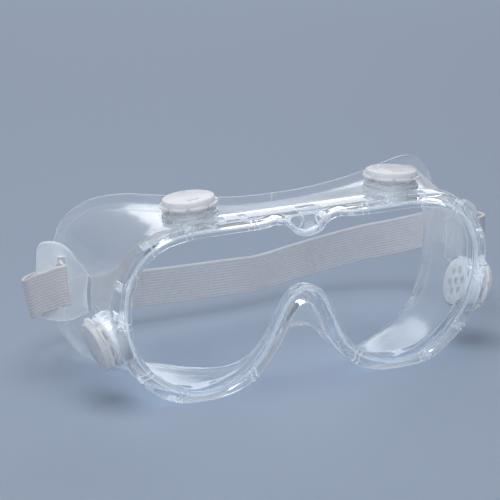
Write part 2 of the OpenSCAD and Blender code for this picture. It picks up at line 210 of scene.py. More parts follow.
def lathe(name, profile, seg=96):
    """Solid of revolution about local Z from a closed (r, z) profile in mm."""
    verts, faces = [], []
    n = len(profile)
    rings = []
    for r, z in profile:
        if r < 1e-6:
            rings.append([len(verts)] * seg)
            verts.append((0, 0, z * MM))
        else:
            rings.append(list(range(len(verts), len(verts) + seg)))
            for k in range(seg):
                t = 2 * math.pi * k / seg
                verts.append((r * MM * math.cos(t), r * MM * math.sin(t), z * MM))
    for i in range(n):
        a, b = rings[i], rings[(i + 1) % n]
        for k in range(seg):
            q = [a[k], a[(k + 1) % seg], b[(k + 1) % seg], b[k]]
            q = [v for j, v in enumerate(q) if v != q[j - 1]]
            if len(q) > 2:
                faces.append(q)
    return mesh_object(name, verts, faces)


def rounded(points, radii, steps=3):
    """Closed polyline with each corner replaced by a short curve of about that radius."""
    pts = [np.asarray(p, float) for p in points]
    out = []
    n = len(pts)
    for i, p in enumerate(pts):
        r = radii[i] if hasattr(radii, "__len__") else radii
        a, b = pts[i - 1] - p, pts[(i + 1) % n] - p
        la, lb = np.linalg.norm(a), np.linalg.norm(b)
        if r <= 0:
            out.append(p)
            continue
        u, v = p + a / la * min(r, la * 0.45), p + b / lb * min(r, lb * 0.45)
        for k in range(steps + 1):
            t = k / steps
            out.append(u * (1 - t) ** 2 + p * 2 * t * (1 - t) + v * t * t)
    return out


CURVE_STEPS = 24                # samples between two points, before they are spaced evenly


def open_curve(points, step):
    """Centripetal curve through the points (columns x, y, z and any more), sampled every `step` mm."""
    p = np.array(points, float)
    p = np.vstack([2 * p[0] - p[1], p, 2 * p[-1] - p[-2]])
    t = np.r_[0, np.cumsum(np.linalg.norm(np.diff(p[:, :3], axis=0), axis=1) ** 0.5)]
    out = []
    for i in range(1, len(p) - 2):
        for u in np.linspace(t[i], t[i + 1], CURVE_STEPS, endpoint=False):
            q = [p[i + j - 1] for j in range(4)]
            k = [t[i + j - 1] for j in range(4)]
            for first, reach in ((0, 1), (0, 2), (1, 1)):
                for j in range(len(q) - 1):
                    w = (u - k[j + first]) / (k[j + first + reach] - k[j + first])
                    q[j] = q[j] * (1 - w) + q[j + 1] * w
                q.pop()
            out.append(q[0])
    out.append(p[-2])
    out = np.array(out)
    s = np.r_[0, np.cumsum(np.linalg.norm(np.diff(out[:, :3], axis=0), axis=1))]
    at = np.linspace(0, s[-1], int(s[-1] / step) + 1)
    return np.stack([np.interp(at, s, out[:, c]) for c in range(out.shape[1])], 1)


def box_tool(name, size, centre, matrix=Matrix.Identity(4)):
    """A box in millimetres about a centre, under an optional placement."""
    bm = bmesh.new()
    bmesh.ops.create_cube(bm, size=1)
    bmesh.ops.scale(bm, vec=Vector(size) * MM, verts=bm.verts)
    bmesh.ops.translate(bm, vec=Vector(centre) * MM, verts=bm.verts)
    ob = linked(name, bm)
    ob.matrix_world = matrix
    return ob


def turned(degrees, axis):
    return Matrix.Rotation(math.radians(degrees), 4, axis)


def vent_matrix(kind, side):
    """Placement of a vent: kind is top or side, side is -1 or 1."""
    x, y, z = TOP_VENT if kind == "top" else SIDE_VENT
    place = Matrix.Translation((Vector((side * x, y, z)) + SHIFT) * MM)
    if kind == "top":
        return place @ turned(side * TOP_LEAN_OUT, "Y") @ turned(-TOP_LEAN_BACK, "X")
    return place @ turned(-side * SIDE_TURN_FORWARD, "Z") @ turned(side * SIDE_LEAN_DOWN, "Y")


# kind, side, name of each vent
VENTS = [("top", -1, "top_left"), ("top", 1, "top_right"),
         ("side", -1, "side_left"), ("side", 1, "side_right")]


# ---------------------------------------------------------------- materials
# where the soft moulding's look changes: axis, start and stop in row metres, value at each
WALL_HAZE = ("Y", -0.040, -0.030, 0.0)      # the haze it ends with is the material's own
WALL_ROUGH = ("Y", -0.038, -0.034, 0.0, 0.09)
# painted shade: these two together cut the reflection on the skirt's floor behind the rim
REFLECTION_CUT_BEHIND_RIM = ("Y", -0.037, -0.033, 0.0, 0.65)
REFLECTION_CUT_LOW = ("Z", 0.010, 0.024, 1.0, 0.0)
BEAD_HAZE = ("Y", -0.0465, -0.0463, 0.3, 0.0)
LUG_HAZE = ("X", 0.090, 0.099, 0.0, 0.22)
# spans of Pointiness that count as a ridge and as a crease, each with the white haze it adds there as a
# painted highlight line
PAINTED_HIGHLIGHT_LINES = (((0.52, 0.6), 0.55), ((0.48, 0.4), 0.5))
GRAZE_POWER = 5.0
WEFT_PER_MM = 0.9
MIRROR_FACING, MIRROR_GRAZING = 0.03, 0.5
# white of the haze, which also paints the highlights along outlines, ridges and creases
HAZE_AND_HIGHLIGHT_WHITE = (0.93, 0.96, 1.0, 1)
SHADOW_TINT = (0.9, 0.92, 0.94, 1)


def new_material(name):
    mat = bpy.data.materials.new(name)
    mat.use_nodes = True
    nt = mat.node_tree
    nt.nodes.clear()
    return mat, nt, nt.nodes.new("ShaderNodeOutputMaterial")


def add(nt, kind, **inputs):
    """A new node with some inputs set; an underscore in a name stands for a space."""
    node = nt.nodes.new(kind)
    for key, value in inputs.items():
        node.inputs[key.replace("_", " ")].default_value = value
    return node


def noise(nt, scale, detail=4.0):
    """Noise over the object's own coordinates, in metres, so a scale of 100 has 10 mm patches."""
    co = nt.nodes.new("ShaderNodeTexCoord")
    n = add(nt, "ShaderNodeTexNoise", Scale=scale, Detail=detail)
    nt.links.new(co.outputs["Object"], n.inputs["Vector"])
    return n.outputs["Fac"]


def map_range(nt, source, span, low, high):
    """A value that goes from low to high as the source crosses the span."""
    r = add(nt, "ShaderNodeMapRange", From_Min=span[0], From_Max=span[1], To_Min=low, To_Max=high)
    nt.links.new(source, r.inputs["Value"])
    return r.outputs["Result"]


def spread(nt, source, low, high):
    """Noise stretched to the range from low to high."""
    return map_range(nt, source, (0.3, 0.7), low, high)


def colour_ramp(nt, source, low, high, start=0.0, stop=1.0):
    ramp = nt.nodes.new("ShaderNodeValToRGB")
    for element, place, colour in zip(ramp.color_ramp.elements, (start, stop), (low, high)):
        element.position, element.color = place, (*colour, 1)
    nt.links.new(source, ramp.inputs["Fac"])
    return ramp.outputs["Color"]


def mixed(nt, factor, first, second):
    """Mix of two shaders by a number or by a socket."""
    mix = nt.nodes.new("ShaderNodeMixShader")
    if isinstance(factor, float):
        mix.inputs[0].default_value = factor
    else:
        nt.links.new(factor, mix.inputs[0])
    nt.links.new(first.outputs[0], mix.inputs[1])
    nt.links.new(second.outputs[0], mix.inputs[2])
    return mix


def math_node(nt, kind, first, second=0.0, third=0.0):
    node = nt.nodes.new("ShaderNodeMath")
    node.operation = kind
    for i, value in enumerate((first, second, third)):
        if isinstance(value, (int, float)):
            node.inputs[i].default_value = value
        else:
            nt.links.new(value, node.inputs[i])
    return node.outputs[0]


def bumped(nt, shader, height, strength, distance):
    bump = add(nt, "ShaderNodeBump", Strength=strength, Distance=distance)
    nt.links.new(height, bump.inputs["Height"])
    nt.links.new(bump.outputs[0], shader.inputs["Normal"])


def place_range(nt, axis, start, stop, low, high):
    """A value that goes from low to high along an axis; the X axis counts from the middle."""
    co = nt.nodes.new("ShaderNodeTexCoord")
    sep = nt.nodes.new("ShaderNodeSeparateXYZ")
    nt.links.new(co.outputs["Object"], sep.inputs[0])
    value = sep.outputs[axis]
    if axis == "X":
        value = math_node(nt, "ABSOLUTE", value)
    return map_range(nt, value, (start, stop), low, high)


def wall_places(nt, graze, rough, amount, haze_gain):
    """Changes over the soft moulding: painted shade that cuts the reflection on the skirt's floor
    behind the rim, a rougher and hazier wall, hazy beads and lugs, and painted highlights as white lines
    along ridges and creases."""
    rough = math_node(nt, "ADD", rough, place_range(nt, *WALL_ROUGH))
    # painted shade: less reflection on the skirt's floor behind the rim
    painted_reflection_cut = math_node(nt, "MULTIPLY", place_range(nt, *REFLECTION_CUT_BEHIND_RIM), place_range(nt, *REFLECTION_CUT_LOW))
    graze = math_node(nt, "MULTIPLY", graze, math_node(nt, "SUBTRACT", 1.0, painted_reflection_cut))
    for place in ((*WALL_HAZE, haze_gain), BEAD_HAZE, LUG_HAZE):
        amount = math_node(nt, "ADD", amount, place_range(nt, *place))
    point = nt.nodes.new("ShaderNodeNewGeometry").outputs["Pointiness"]
    # painted highlights: white haze along ridges and creases
    for span, gain in PAINTED_HIGHLIGHT_LINES:
        amount = math_node(nt, "ADD", amount, map_range(nt, point, span, 0.0, gain))
    return graze, rough, amount


def clear_material(name, tint, rough, haze, edge, ior=1.0, wave=0.0, wall_haze=None):
    """Clear plastic, whiter where seen edge-on: a painted highlight along its outlines, as white haze
    that grows with edge. An ior of 1 bends no light. With wall_haze it is the soft moulding, whose wall
    behind the rim is that hazy."""
    mat, nt, out = new_material(name)
    cloud = noise(nt, 90.0)
    facing = add(nt, "ShaderNodeLayerWeight", Blend=0.5).outputs["Facing"]
    graze = math_node(nt, "POWER", facing, GRAZE_POWER)
    rough_socket = spread(nt, cloud, rough * 0.6, rough * 1.5)
    amount = spread(nt, cloud, haze * 0.7, haze * 1.3)
    if wall_haze is not None:
        graze, rough_socket, amount = wall_places(nt, graze, rough_socket, amount, wall_haze - haze)
    shine = add(nt, "ShaderNodeBsdfGlossy", Color=(1, 1, 1, 1))
    clear = add(nt, "ShaderNodeBsdfTransparent", Color=(*tint, 1))
    skins = [shine]
    if ior > 1:
        clear = add(nt, "ShaderNodeBsdfGlass", Color=(*tint, 1), IOR=ior)
        skins.append(clear)
    for shader in skins:
        nt.links.new(rough_socket, shader.inputs["Roughness"])
        if wave:
            bumped(nt, shader, noise(nt, 130.0, 2.0), wave, 0.4 * MM)
    mirror = math_node(nt, "MULTIPLY_ADD", graze, MIRROR_GRAZING, MIRROR_FACING)
    soft = mixed(nt, 0.5, add(nt, "ShaderNodeBsdfTranslucent", Color=HAZE_AND_HIGHLIGHT_WHITE),
                 add(nt, "ShaderNodeBsdfDiffuse", Color=HAZE_AND_HIGHLIGHT_WHITE))
    # painted highlight: white haze grows where the surface is seen edge-on
    amount = math_node(nt, "MULTIPLY_ADD", graze, edge, amount)
    body = mixed(nt, amount, mixed(nt, mirror, clear, shine), soft)
    through = add(nt, "ShaderNodeBsdfTransparent", Color=SHADOW_TINT)
    path = nt.nodes.new("ShaderNodeLightPath")
    pick = mixed(nt, path.outputs["Is Shadow Ray"], body, through)
    nt.links.new(pick.outputs[0], out.inputs["Surface"])
    return mat


def milky_material(name):
    """White translucent moulding with a satin skin."""
    mat, nt, out = new_material(name)
    cloud = noise(nt, 160.0)
    p = add(nt, "ShaderNodeBsdfPrincipled", Transmission_Weight=0.06, IOR=1.48,
            Subsurface_Weight=0.5, Subsurface_Scale=3 * MM, Subsurface_Radius=(0.9, 0.95, 1.0))
    nt.links.new(colour_ramp(nt, cloud, (0.95, 0.965, 0.985), (0.99, 0.99, 1.0)), p.inputs["Base Color"])
    nt.links.new(spread(nt, cloud, 0.2, 0.34), p.inputs["Roughness"])
    glow = add(nt, "ShaderNodeBsdfTranslucent", Color=(0.97, 0.98, 1.0, 1))
    nt.links.new(mixed(nt, 0.45, p, glow).outputs[0], out.inputs["Surface"])
    return mat


def webbing_material(name):
    """Light grey ribbed elastic: UV x runs along the strap in millimetres, y across it from 0 to 1."""
    mat, nt, out = new_material(name)
    uv = nt.nodes.new("ShaderNodeTexCoord")
    sep = nt.nodes.new("ShaderNodeSeparateXYZ")
    nt.links.new(uv.outputs["UV"], sep.inputs[0])
    # painted shade: the grooves between the ribs are darker; the same pattern also bumps the surface
    rib_relief_and_shade = math_node(nt, "MULTIPLY", sep.outputs["Y"], RIBS * math.pi)
    rib_relief_and_shade = math_node(nt, "ABSOLUTE", math_node(nt, "SINE", rib_relief_and_shade))
    weft = math_node(nt, "SINE", math_node(nt, "MULTIPLY", sep.outputs["X"], 2 * math.pi * WEFT_PER_MM))
    total = math_node(nt, "MULTIPLY_ADD", weft, 0.03, math_node(nt, "MULTIPLY", rib_relief_and_shade, 0.3))
    for scale, detail, gain in ((500.0, 2.0, 0.3), (35.0, 1.0, 0.25)):    # fuzz, then broad lighter and darker patches: painted light and shade of the strap's folds
        total = math_node(nt, "MULTIPLY_ADD", noise(nt, scale, detail), gain, total)
    p = add(nt, "ShaderNodeBsdfPrincipled", Roughness=0.7, Sheen_Weight=0.3)
    # colour from the weave, with painted shade in the rib grooves and painted light and shade of the
    # folds
    weave_and_painted_shade = colour_ramp(nt, total, (0.52, 0.51, 0.53), (0.84, 0.83, 0.855), 0.15, 0.75)
    nt.links.new(weave_and_painted_shade, p.inputs["Base Color"])
    bumped(nt, p, total, 0.2, 0.2 * MM)
    nt.links.new(p.outputs[0], out.inputs["Surface"])
    return mat


def plain_material(name, low, high, rough, scale):
    """Matt surface whose colour wanders between two tones."""
    mat, nt, out = new_material(name)
    p = add(nt, "ShaderNodeBsdfPrincipled", Roughness=rough)
    nt.links.new(colour_ramp(nt, noise(nt, scale), low, high), p.inputs["Base Color"])
    nt.links.new(p.outputs[0], out.inputs["Surface"])
    return mat


# edge sets the painted highlight along each part's outlines
SOFT = clear_material("soft_clear", tint=(0.97, 0.982, 0.99), rough=0.035, haze=0.02, edge=0.95,
                      ior=1.27, wave=0.3, wall_haze=0.08)
HARD = clear_material("clear_lens", tint=(0.985, 0.992, 0.996), rough=0.01, haze=0.008, edge=0.5)
MILKY = milky_material("vent_plastic")
WEB = webbing_material("elastic_webbing")
THREAD = plain_material("thread", (0.66, 0.67, 0.7), (0.82, 0.83, 0.85), rough=0.7, scale=600.0)
FLOOR = plain_material("floor", (0.29, 0.35, 0.45), (0.31, 0.37, 0.47), rough=0.9, scale=3.0)


def dress(ob, mat):
    """Give a piece its only material."""
    ob.data.materials.clear()
    ob.data.materials.append(mat)


# ---------------------------------------------------------------- soft frame
STEPS = 6                       # samples between two outline points
RING = ring_points(STEPS)
N_IN = normals(RING[:, 0], RING[:, 1])
N_OUT = normals(RING[:, 2], RING[:, 3])
N_FL = normals(RING[:, 4], RING[:, 6])
GROOVE_Y = LIP_FRONT + LENS_T + 2 * GAP
BACK_LIP_IN, BACK_LIP_T = 0.5, 2.4
WALL_ROOT_IN, WALL_ROOT_BACK = 2.4, 1.5
BEVEL = 0.9
WALL_SHARES = (0.2, 0.4, 0.6, 0.8)
LUG_BEND, LUG_EDGE = 1.2, 0.45
SHARP_TURN = 1.2                # radians

# beads on the front face: places by outline point, sizes in mm
CROSS_BEADS = (4.4, 6, 7.4, 10.3, 12.5, 14.2, 17)
BRIDGE_BEAD = [(4.7, 82.3), (3.9, 81.2), (2.9, 79.4), (3.6, 77.3), (4.8, 75.2), (5.1, 72.8)]
BRIDGE_BEAD_R, CROSS_BEAD_R, RING_BEAD_R = 0.42, 0.32, 0.26
RING_BEAD_AT, RING_BEAD_SIZE, RING_BEAD_STEPS = (8.4, 78), (1.4, 1.7), 32
BEAD_PROUD = 0.05               # how far a bead's middle stands in front of the face
BEAD_SPACING, BEAD_SWAY = 1.3, 0.7
CROSS_SPAN, CROSS_STEPS = (0.08, 0.92), 9


def skirt_section(k):
    """One rounded cross-section of the moulding: lens lip, wall, face flange and back outside."""
    p = RING[k]
    ni, no, nb = N_IN[k], N_OUT[k], N_FL[k]
    inn, out, fl = p[0:2], p[2:4], np.array([p[4], p[6]])

    def xz(v, y):
        return np.array([v[0], y, v[1]])

    r0, r1 = out - WALL_ROOT_IN * no, fl - p[7] * nb
    y0, y1 = RIM_DEPTH + WALL_ROOT_BACK, p[5] - FLANGE_T
    dn, dy = (r1 - r0) @ nb, y1 - y0
    h = math.hypot(dn, dy)
    off = np.array([nb[0] * dy / h, -dn / h, nb[1] * dy / h]) * WALL_T
    w0, w1 = xz(r0, y0), xz(r1, y1)
    inner_end = xz(r1, p[5]) - np.array([off[0], min(0, off[1]), off[2]])
    # each point with the radius of its corner, from the front of the opening round to the rim's
    pts = [
        (xz(inn, 0), 0.45), (xz(inn, LIP_FRONT), 0.25),
        (xz(inn + GROOVE * ni, LIP_FRONT), 0), (xz(inn + GROOVE * ni, GROOVE_Y), 0),
        (xz(inn + BACK_LIP_IN * ni, GROOVE_Y), 0.25),
        (xz(inn + BACK_LIP_IN * ni, GROOVE_Y + BACK_LIP_T), 0.6),
        (w0 - off, 1.2)]
    pts += [(w0 * (1 - t) + w1 * t - off, 0) for t in WALL_SHARES]
    pts += [(inner_end, 0.7), (xz(fl, p[5]), 0.5), (xz(fl, p[5] - FLANGE_T), 0.5), (w1, 0.9)]
    pts += [(w0 * (1 - t) + w1 * t, 0) for t in WALL_SHARES[::-1]]
    pts += [(w0, 0.8), (xz(out, RIM_DEPTH), 0.6), (xz(out, BEVEL), 0.5), (xz(out - BEVEL * no, 0), 0.5)]
    return rounded([q for q, _ in pts], [r for _, r in pts])


def build_skirt():
    """Closed loft through the cross-sections."""
    sections = [skirt_section(k) for k in range(len(RING))]
    n, q = len(sections), len(sections[0])
    verts = to_row(np.array(sections).reshape(-1, 3))
    faces = [(k * q + j, k * q + (j + 1) % q, (k + 1) % n * q + (j + 1) % q, (k + 1) % n * q + j)
             for k in range(n) for j in range(q)]
    return mesh_object("goggle_frame", verts, faces, 50)


def sag(side, w):
    """How far the strap pulls a lug down, w out along it. Only the right one is pulled."""
    return LUG_DROOP * (max(w, 0) / LUG_REACH) ** LUG_BEND if side > 0 else 0.0


def on_lug(side, w, d, z):
    """Design point at w out along a lug, d behind it and height z."""
    c, s = math.cos(LUG_SWEEP), math.sin(LUG_SWEEP)
    return (side * (LUG_ROOT[0] + w * c - d * s), LUG_ROOT[1] + w * s + d * c, z)


def lug_mesh(side):
    """Slotted plate with eased edges."""
    outer = rounded([point[:2] for point in LUG_OUTLINE], [point[2] for point in LUG_OUTLINE], 4)
    hole = rounded(LUG_SLOT, LUG_SLOT_ROUND, 4)
    bm = bmesh.new()
    edges = []
    for loop in (outer, hole):
        flat = [on_lug(side, w, -LUG_T / 2, z - sag(side, w)) for w, z in loop]
        vs = [bm.verts.new(p) for p in to_row(flat)]
        edges += [bm.edges.new((vs[i], vs[(i + 1) % len(vs)])) for i in range(len(vs))]
    bmesh.ops.triangle_fill(bm, use_beauty=True, edges=edges)
    got = bmesh.ops.extrude_face_region(bm, geom=bm.faces[:])
    moved = [v for v in got["geom"] if isinstance(v, bmesh.types.BMVert)]
    through = Vector((-side * math.sin(LUG_SWEEP), math.cos(LUG_SWEEP), 0)) * LUG_T * MM
    bmesh.ops.translate(bm, vec=through, verts=moved)
    bmesh.ops.recalc_face_normals(bm, faces=bm.faces)
    sharp = [e for e in bm.edges if e.calc_face_angle(0) > SHARP_TURN]
    bmesh.ops.bevel(bm, geom=sharp, offset=LUG_EDGE * MM, segments=3, profile=0.5, affect="EDGES")
    return linked("lug", bm)


def at_vents(profile):
    """The same solid of revolution at all four vents, as one tool."""
    tools = []
    for kind, side, _ in VENTS:
        tool = lathe("turned", profile)
        tool.matrix_world = vent_matrix(kind, side)
        tools.append(tool)
    return joined(tools)


def rim_pockets():
    """Small open pockets along the outside of the rim, and the recess over the nose."""
    back = POCKET_Y + POCKET_L
    middle = Vector((0, (NECK_Y + back) / 2, HALF[0][3] + (OVER - NECK_H) / 2))
    tools = [box_tool("neck", (NECK_W, back - NECK_Y, NECK_H + OVER), middle + SHIFT)]
    for u in POCKET_AT:
        k = round(u * STEPS)
        for side in (1, -1):
            turn = math.atan2(side * N_OUT[k][0], N_OUT[k][1])
            place = Matrix.Translation(Vector(to_row([side * RING[k][2], POCKET_Y, RING[k][3]])))
            tools.append(box_tool("pocket", (POCKET_W, POCKET_L, POCKET_H + OVER),
                                  (0, POCKET_L / 2, (OVER - POCKET_H) / 2),
                                  place @ Matrix.Rotation(turn, 4, "Y")))
    return joined(tools)


def tube(points, radius, closed=False, seg=10):
    """Thin round bead on the front face of the rim, through (x, z) points."""
    p = np.array([(x, -BEAD_PROUD, z) for x, z in points])
    n = len(p)
    verts, faces = [], []
    for i in range(n):
        a, b = (p[(i + 1) % n], p[i - 1]) if closed else (p[min(i + 1, n - 1)], p[max(i - 1, 0)])
        d = (a - b) / np.linalg.norm(a - b)
        out = np.array([0, 1.0, 0])
        across = np.cross(d, out)
        for j in range(seg):
            t = 2 * math.pi * j / seg
            verts.append(p[i] + radius * (math.cos(t) * across + math.sin(t) * out))
    for i in range(n if closed else n - 1):
        for j in range(seg):
            k = (i + 1) % n
            faces.append((i * seg + j, i * seg + (j + 1) % seg, k * seg + (j + 1) % seg, k * seg + j))
    if not closed:
        faces += [tuple(range(seg)), tuple(range((n - 1) * seg, n * seg))]
    return mesh_object("bead", to_row(verts), faces)


def cross_line(k, side, shift):
    """An S-shaped line over the front band of the rim, from the opening to the outside."""
    inner, outer = RING[k][0:2], RING[k][2:4]
    along = np.array([N_OUT[k][1], -N_OUT[k][0]])
    line = []
    for t in np.linspace(*CROSS_SPAN, CROSS_STEPS):
        sway = shift * BEAD_SPACING + BEAD_SWAY * math.sin(2 * math.pi * t)
        p = inner * (1 - t) + outer * t + along * sway
        line.append((side * p[0], p[1]))
    return line


def front_beads():
    """Beads on the front face: curved ones beside the nose recess, short ones over the band."""
    beads = []
    for side in (1, -1):
        line = open_curve([(side * x, z, 0) for x, z in BRIDGE_BEAD], 0.4)
        beads.append(tube(line[:, :2], BRIDGE_BEAD_R))
    for u in CROSS_BEADS:
        for side in (1, -1):
            for shift in (-1, 1):
                beads.append(tube(cross_line(round(u * STEPS), side, shift), CROSS_BEAD_R))
    (x, z), (rx, rz) = RING_BEAD_AT, RING_BEAD_SIZE
    turns = np.arange(RING_BEAD_STEPS) * 2 * math.pi / RING_BEAD_STEPS
    beads.append(tube([(x + rx * math.cos(t), z + rz * math.sin(t)) for t in turns], RING_BEAD_R, True))
    return joined(beads)


def block(inner, outer, low, high):
    """Rectangular (r, z) profile, from the inside bottom round to the inside top."""
    return [(inner, low), (outer, low), (outer, high), (inner, high)]


def build_soft():
    """The whole soft moulding, in one piece as in the CAD."""
    soft = build_skirt()
    collar = rounded(block(RING_IN, COLLAR_R, COLLAR_Z, COLLAR_H), [0, 0, 0.5, 0])
    boolean(soft, joined([lug_mesh(-1), lug_mesh(1)]), "UNION")
    boolean(soft, at_vents(collar), "UNION")
    boolean(soft, at_vents(block(RING_IN, FOOT_R + BOSS, FOOT_TOP - BOSS, BOSS_Z)), "UNION")
    boolean(soft, front_beads(), "UNION")
    boolean(soft, at_vents(block(0, BORE_R, *BORE_Z)), "DIFFERENCE")
    boolean(soft, at_vents(block(0, FOOT_R + FOOT_ROOM, FOOT_Z - UNDER, FOOT_TOP)), "DIFFERENCE")
    boolean(soft, rim_pockets(), "DIFFERENCE")
    shade(soft, 45)
    return soft


soft = build_soft()
dress(soft, SOFT)
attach(soft, "goggles")
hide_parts("frame")


# ---------------------------------------------------------------- lens
def build_lens():
    """Flat sheet whose edge lies in the rim's groove."""
    edge = RING[:, :2] + (GROOVE - GAP) * N_IN
    bm = bmesh.new()
    sheets = []
    for y in (LIP_FRONT + GAP, LIP_FRONT + GAP + LENS_T):
        sheets.append([bm.verts.new(p) for p in to_row([(x, y, z) for x, z in edge])])
    front, back = sheets
    bm.faces.new(front)
    bm.faces.new(back[::-1])
    for i in range(len(edge)):
        j = (i + 1) % len(edge)
        bm.faces.new((front[i], back[i], back[j], front[j]))
    bmesh.ops.recalc_face_normals(bm, faces=bm.faces)
    return linked("goggle_lens", bm)


lens = build_lens()
dress(lens, HARD)
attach(lens, "goggles")
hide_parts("lens")


# ---------------------------------------------------------------- vents
def build_seat():
    """Plug with a grille at its foot and air windows in its barrel."""
    seat = lathe("seat_shape", rounded(
        [(0, FOOT_Z), (FOOT_R, FOOT_Z), (FOOT_R, FOOT_TOP - GAP), (BARREL_R, FOOT_TOP - GAP),
         (BARREL_R, COLLAR_H + GAP), (LEDGE_R, COLLAR_H + GAP), (LEDGE_R, LEDGE_TOP),
         (BARREL_R, LEDGE_TOP), (BARREL_R, SNAP_Z[0]), (SNAP_R, SNAP_Z[1]), (BARREL_R, BARREL_TOP),
         (BARREL_IN, BARREL_TOP), (BARREL_IN, SEAT_FLOOR), (0, SEAT_FLOOR)],
        [0, 0.3, 0.3, 0, 0, 0.25, 0.25, 0, 0, 0, 0, 0, 0, 0], 2))
    for i in range(WINDOWS):
        turn = turned(i * 360 / WINDOWS, "Z")
        boolean(seat, box_tool("window", WINDOW, WINDOW_AT, turn), "DIFFERENCE")
    places = [(GRILLE_RING * math.cos(a), GRILLE_RING * math.sin(a))
              for a in np.arange(GRILLE_HOLES) * 2 * math.pi / GRILLE_HOLES] + [(0, 0)]
    for x, y in places:
        tool = lathe("grille", block(0, GRILLE_R, *GRILLE_Z), 32)
        tool.matrix_world = Matrix.Translation((x * MM, y * MM, 0))
        bpy.context.view_layer.update()
        boolean(seat, tool, "DIFFERENCE")
    shade(seat, 35)
    return seat


def build_cap():
    """Brimmed cap with a grip bar on top and notches in its brim."""
    cap = lathe("cap_shape", rounded(
        [(CAP_IN, BRIM_Z), (BRIM_R, BRIM_Z), (BRIM_R, BRIM_TOP), (DISC_R, BRIM_TOP), (DISC_R, CAP_TOP),
         (0, CAP_TOP), (0, CAP_UNDER), (SNAP_ROOM, CAP_UNDER), (SNAP_ROOM, SNAP_ROOM_Z[1]),
         (CAP_IN, SNAP_ROOM_Z[0])],
        [0.1, 0.35, 0.35, 0.2, 0.8, 0, 0, 0, 0, 0], 4))
    boolean(cap, box_tool("grip", GRIP, GRIP_AT), "UNION")
    for i in range(NOTCHES):
        turn = turned((i + 0.5) * 360 / NOTCHES, "Z")
        boolean(cap, box_tool("notch", NOTCH, NOTCH_AT, turn), "DIFFERENCE")
    shade(cap, 35)
    return cap


def place_vent(shape, kind, side, node, body):
    """A copy of the seat's or the cap's shape at its vent, standing for a CAD node."""
    ob = bpy.data.objects.new(node + "_look", shape.data.copy())
    bpy.context.scene.collection.objects.link(ob)
    ob.matrix_world = vent_matrix(kind, side)
    dress(ob, MILKY)
    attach(ob, body)
    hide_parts(node)


seat, cap = build_seat(), build_cap()
for kind, side, name in VENTS:
    place_vent(seat, kind, side, "vent_seat_" + name, "goggles")
    place_vent(cap, kind, side, "vent_cap_" + name, "cap_" + name)
for shape in (seat, cap):
    bpy.data.objects.remove(shape)

# ---------------------------------------------------------------- headband
STRAP_STEP, STEPS_PER_RIB = 0.8, 6
RIB_DEPTH, RIB_POWER, EDGE_SHARE = 0.05, 0.6, 0.3
# loop round a lug bar: w out along the lug, d behind it, share of the fall
LOOP = [(17.2, 4.9, 0.55), (19, 4.2, 0.65), (22.5, 4, 0.8), (25.2, 3.6, 0.92), (26.9, 2.1, 1),
        (27.4, 0, 1), (26.9, -2.2, 0.98), (25.2, -3.9, 0.85), (22.5, -4.3, 0.62), (19, -4.5, 0.44),
        (15.6, -4.9, 0.28), (12.6, -5.3, 0.08), (10.3, -5.2, 0), (8.9, -4.4, 0), (9.5, -3.4, 0),
        (10.9, -2.5, 0), (12, -1.4, 0), (12.5, 0, 0), (13.2, 1.6, 0.02)]
# spans of w, or of -d for LEAN_IN_SLOT: where the lean grows, where it fades behind the bar,
# where it starts in front of the bar, and where a tight loop is shortened
LEAN_SPAN, LEAN_TAIL, LEAN_IN_SLOT, TIGHT_SPAN, BEHIND_BAR = (9, 27), (14, 22), (1.5, 4), (14, 27.4), 2.5
# height in the slot, height at the fold, lean in front of the slot, lean at the fold, tightness
LEFT_LOOP = (49.1, 40.2, 7, 12.5, 0)
RIGHT_LOOP = (48.2 - 0.5 * LUG_DROOP, 47.1 - 0.5 * LUG_DROOP, 0, 0, 1.2)
RUN_X, TAIL_X = 98.74, 100.8    # the main run, and the tail sewn to it
BACK_RUN = [(RUN_X, 60, 41.2, 0), (98.5, 67, 38, 0), (96.2, 73.2, 34.2, 0), (90, 79, 30.8, 0),
            (80, 84.5, 27.6, 0), (72, 87.6, 25.9, 0), (56, 90, 23.1, 0), (40, 90.5, 20.7, 0),
            (30, 91.6, 18.6, 0), (20, 91, 17.2, 0), (12, 89.6, 17.2, 0), (5, 88.8, 17.8, 0),
            (-8, 88.4, 18.2, 0), (-25, 88.4, 18.5, 0), (-45, 88, 19.2, 0), (-62, 85.5, 20.9, 0),
            (-76, 81.5, 22.4, 0), (-88, 77, 25.2, 0), (-95.5, 72, 30, 0), (-98.4, 66.5, 35.3, 0),
            (-RUN_X, 60, 39.6, 0)]


def share(v, low, high):
    """How far v is on the way from low to high, from 0 to 1."""
    return max(0.0, min(1.0, (v - low) / (high - low)))


def lean_share(w, d):
    """How much of the lean the strap has at a point of the loop."""
    if d > BEHIND_BAR:
        return share(w, *LEAN_TAIL)
    return 1 if w > LEAN_TAIL[0] else share(-d, *LEAN_IN_SLOT)


def strap_loop(side, slot, fold, lean_slot, lean_fold, tight):
    """Points (x, y, z, lean) round one lug bar, from the tail to the slot."""
    line = []
    for w, d, fall in LOOP:
        lean = lean_slot + (lean_fold - lean_slot) * share(w, *LEAN_SPAN)
        x, y, z = on_lug(side, w - tight * share(w, *TIGHT_SPAN), d, slot + (fold - slot) * fall)
        line.append((x, y, z, lean * lean_share(w, d)))
    return line


def strap_path():
    """The whole centre line, from the right tail round the head to the left tail."""
    right_end = [(100.6, 66, 40, 0), (TAIL_X, 60, 42, 0), (TAIL_X, 54, 42.4, 0)]
    right_end += strap_loop(1, *RIGHT_LOOP) + [(RUN_X, 46, 41.4, 0), (RUN_X, 52, 41.6, 0)]
    left_end = [(-RUN_X, 52, 43.2, 0), (-RUN_X, 46, 45.6, 3)] + strap_loop(-1, *LEFT_LOOP)[::-1]
    left_end += [(-TAIL_X, 54, 42.8, 0), (-TAIL_X, 60, 40, 0), (-100.6, 66, 36.4, 0)]
    return right_end + BACK_RUN + left_end


